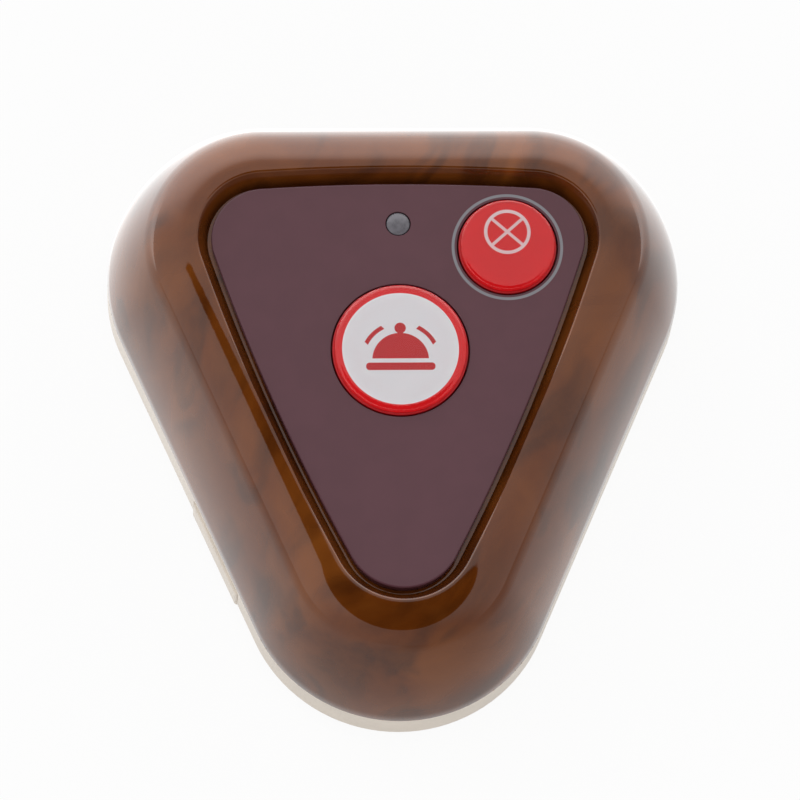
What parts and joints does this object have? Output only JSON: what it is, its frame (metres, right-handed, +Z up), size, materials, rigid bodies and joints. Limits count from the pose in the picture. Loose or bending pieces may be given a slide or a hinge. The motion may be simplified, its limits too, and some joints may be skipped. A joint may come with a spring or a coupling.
{
  "type": "waiter call button",
  "caption": "Tabletop waiter call button: rounded triangular case with a sunk faceplate, a large and a small press button, a lamp and a battery drawer.",
  "frame": {"origin": "on the surface the object stands on, under the middle of the case", "axes": "+Z up, +Y towards the flat rear side with the lamp, -Y towards the nose, +X to the side of the small button"},
  "size_m": [0.074, 0.079, 0.0259],
  "materials": {
    "wood_grain_shell": "glossy wood-grain finish",
    "plum_faceplate": "glossy dark plum",
    "red_plastic": "glossy red",
    "printed_label": "printed film",
    "clear_resin": "clear cast resin",
    "lamp_epoxy": "milky epoxy",
    "tinned_wire": "tinned",
    "board_laminate": "solder-masked laminate",
    "black_moulding": "black moulding compound",
    "metal_can": "plain metal can",
    "pale_base_plastic": "satin pale plastic",
    "battery_sleeve": "shrink sleeve",
    "nickel_strip": "nickel-plated spring strip",
    "zinc_screw": "zinc-plated",
    "soft_rubber": "matt"
  },
  "bodies": {
    "case": {"top_shell": "wood_grain_shell", "faceplate": "plum_faceplate", "led": "lamp_epoxy", "led_leads": "tinned_wire", "circuit_board": "board_laminate", "encoder_chip": "black_moulding", "chip_pins": "tinned_wire", "rf_resonator": "metal_can", "smd_parts": "black_moulding", "antenna_loop": "tinned_wire", "call_switch_body": "black_moulding", "cancel_switch_body": "black_moulding", "switch_terminals": "tinned_wire", "base_case": "pale_base_plastic", "battery": "battery_sleeve", "battery_contact_plus": "nickel_strip", "battery_contact_minus": "nickel_strip", "battery_spring": "nickel_strip", "case_screws": "zinc_screw", "board_screws": "zinc_screw", "rubber_feet": "soft_rubber"},
    "call_button": {"call_button_cap": "red_plastic", "call_button_label": "printed_label", "call_button_dome": "clear_resin"},
    "cancel_button": {"cancel_button_cap": "red_plastic", "cancel_button_label": "printed_label", "cancel_button_dome": "clear_resin"},
    "call_plunger": {"call_switch_plunger": "black_moulding"},
    "cancel_plunger": {"cancel_switch_plunger": "black_moulding"},
    "battery_door": {"battery_door": "pale_base_plastic"}
  },
  "joints": [
    {"name": "call_button_press", "type": "slide", "parent": "case", "child": "call_button", "axis": [0, 0, -1], "range_m": [0, 0.0003], "stiffness_N_per_m": 1600, "springref_m": -0.0007},
    {"name": "cancel_button_press", "type": "slide", "parent": "case", "child": "cancel_button", "axis": [0, 0, -1], "range_m": [0, 0.0003], "stiffness_N_per_m": 1600, "springref_m": -0.0007},
    {"name": "call_plunger_press", "type": "slide", "parent": "case", "child": "call_plunger", "axis": [0, 0, -1], "range_m": [0, 0.0003]},
    {"name": "cancel_plunger_press", "type": "slide", "parent": "case", "child": "cancel_plunger", "axis": [0, 0, -1], "range_m": [0, 0.0003]},
    {"name": "battery_door_slide", "type": "slide", "parent": "case", "child": "battery_door", "axis": [-0.9163, -0.4006, 0], "range_m": [0, 0.038]}
  ],
  "couplings": [
    {"joint": "call_plunger_press", "follows": "call_button_press", "ratio": 1},
    {"joint": "cancel_plunger_press", "follows": "cancel_button_press", "ratio": 1}
  ]
}
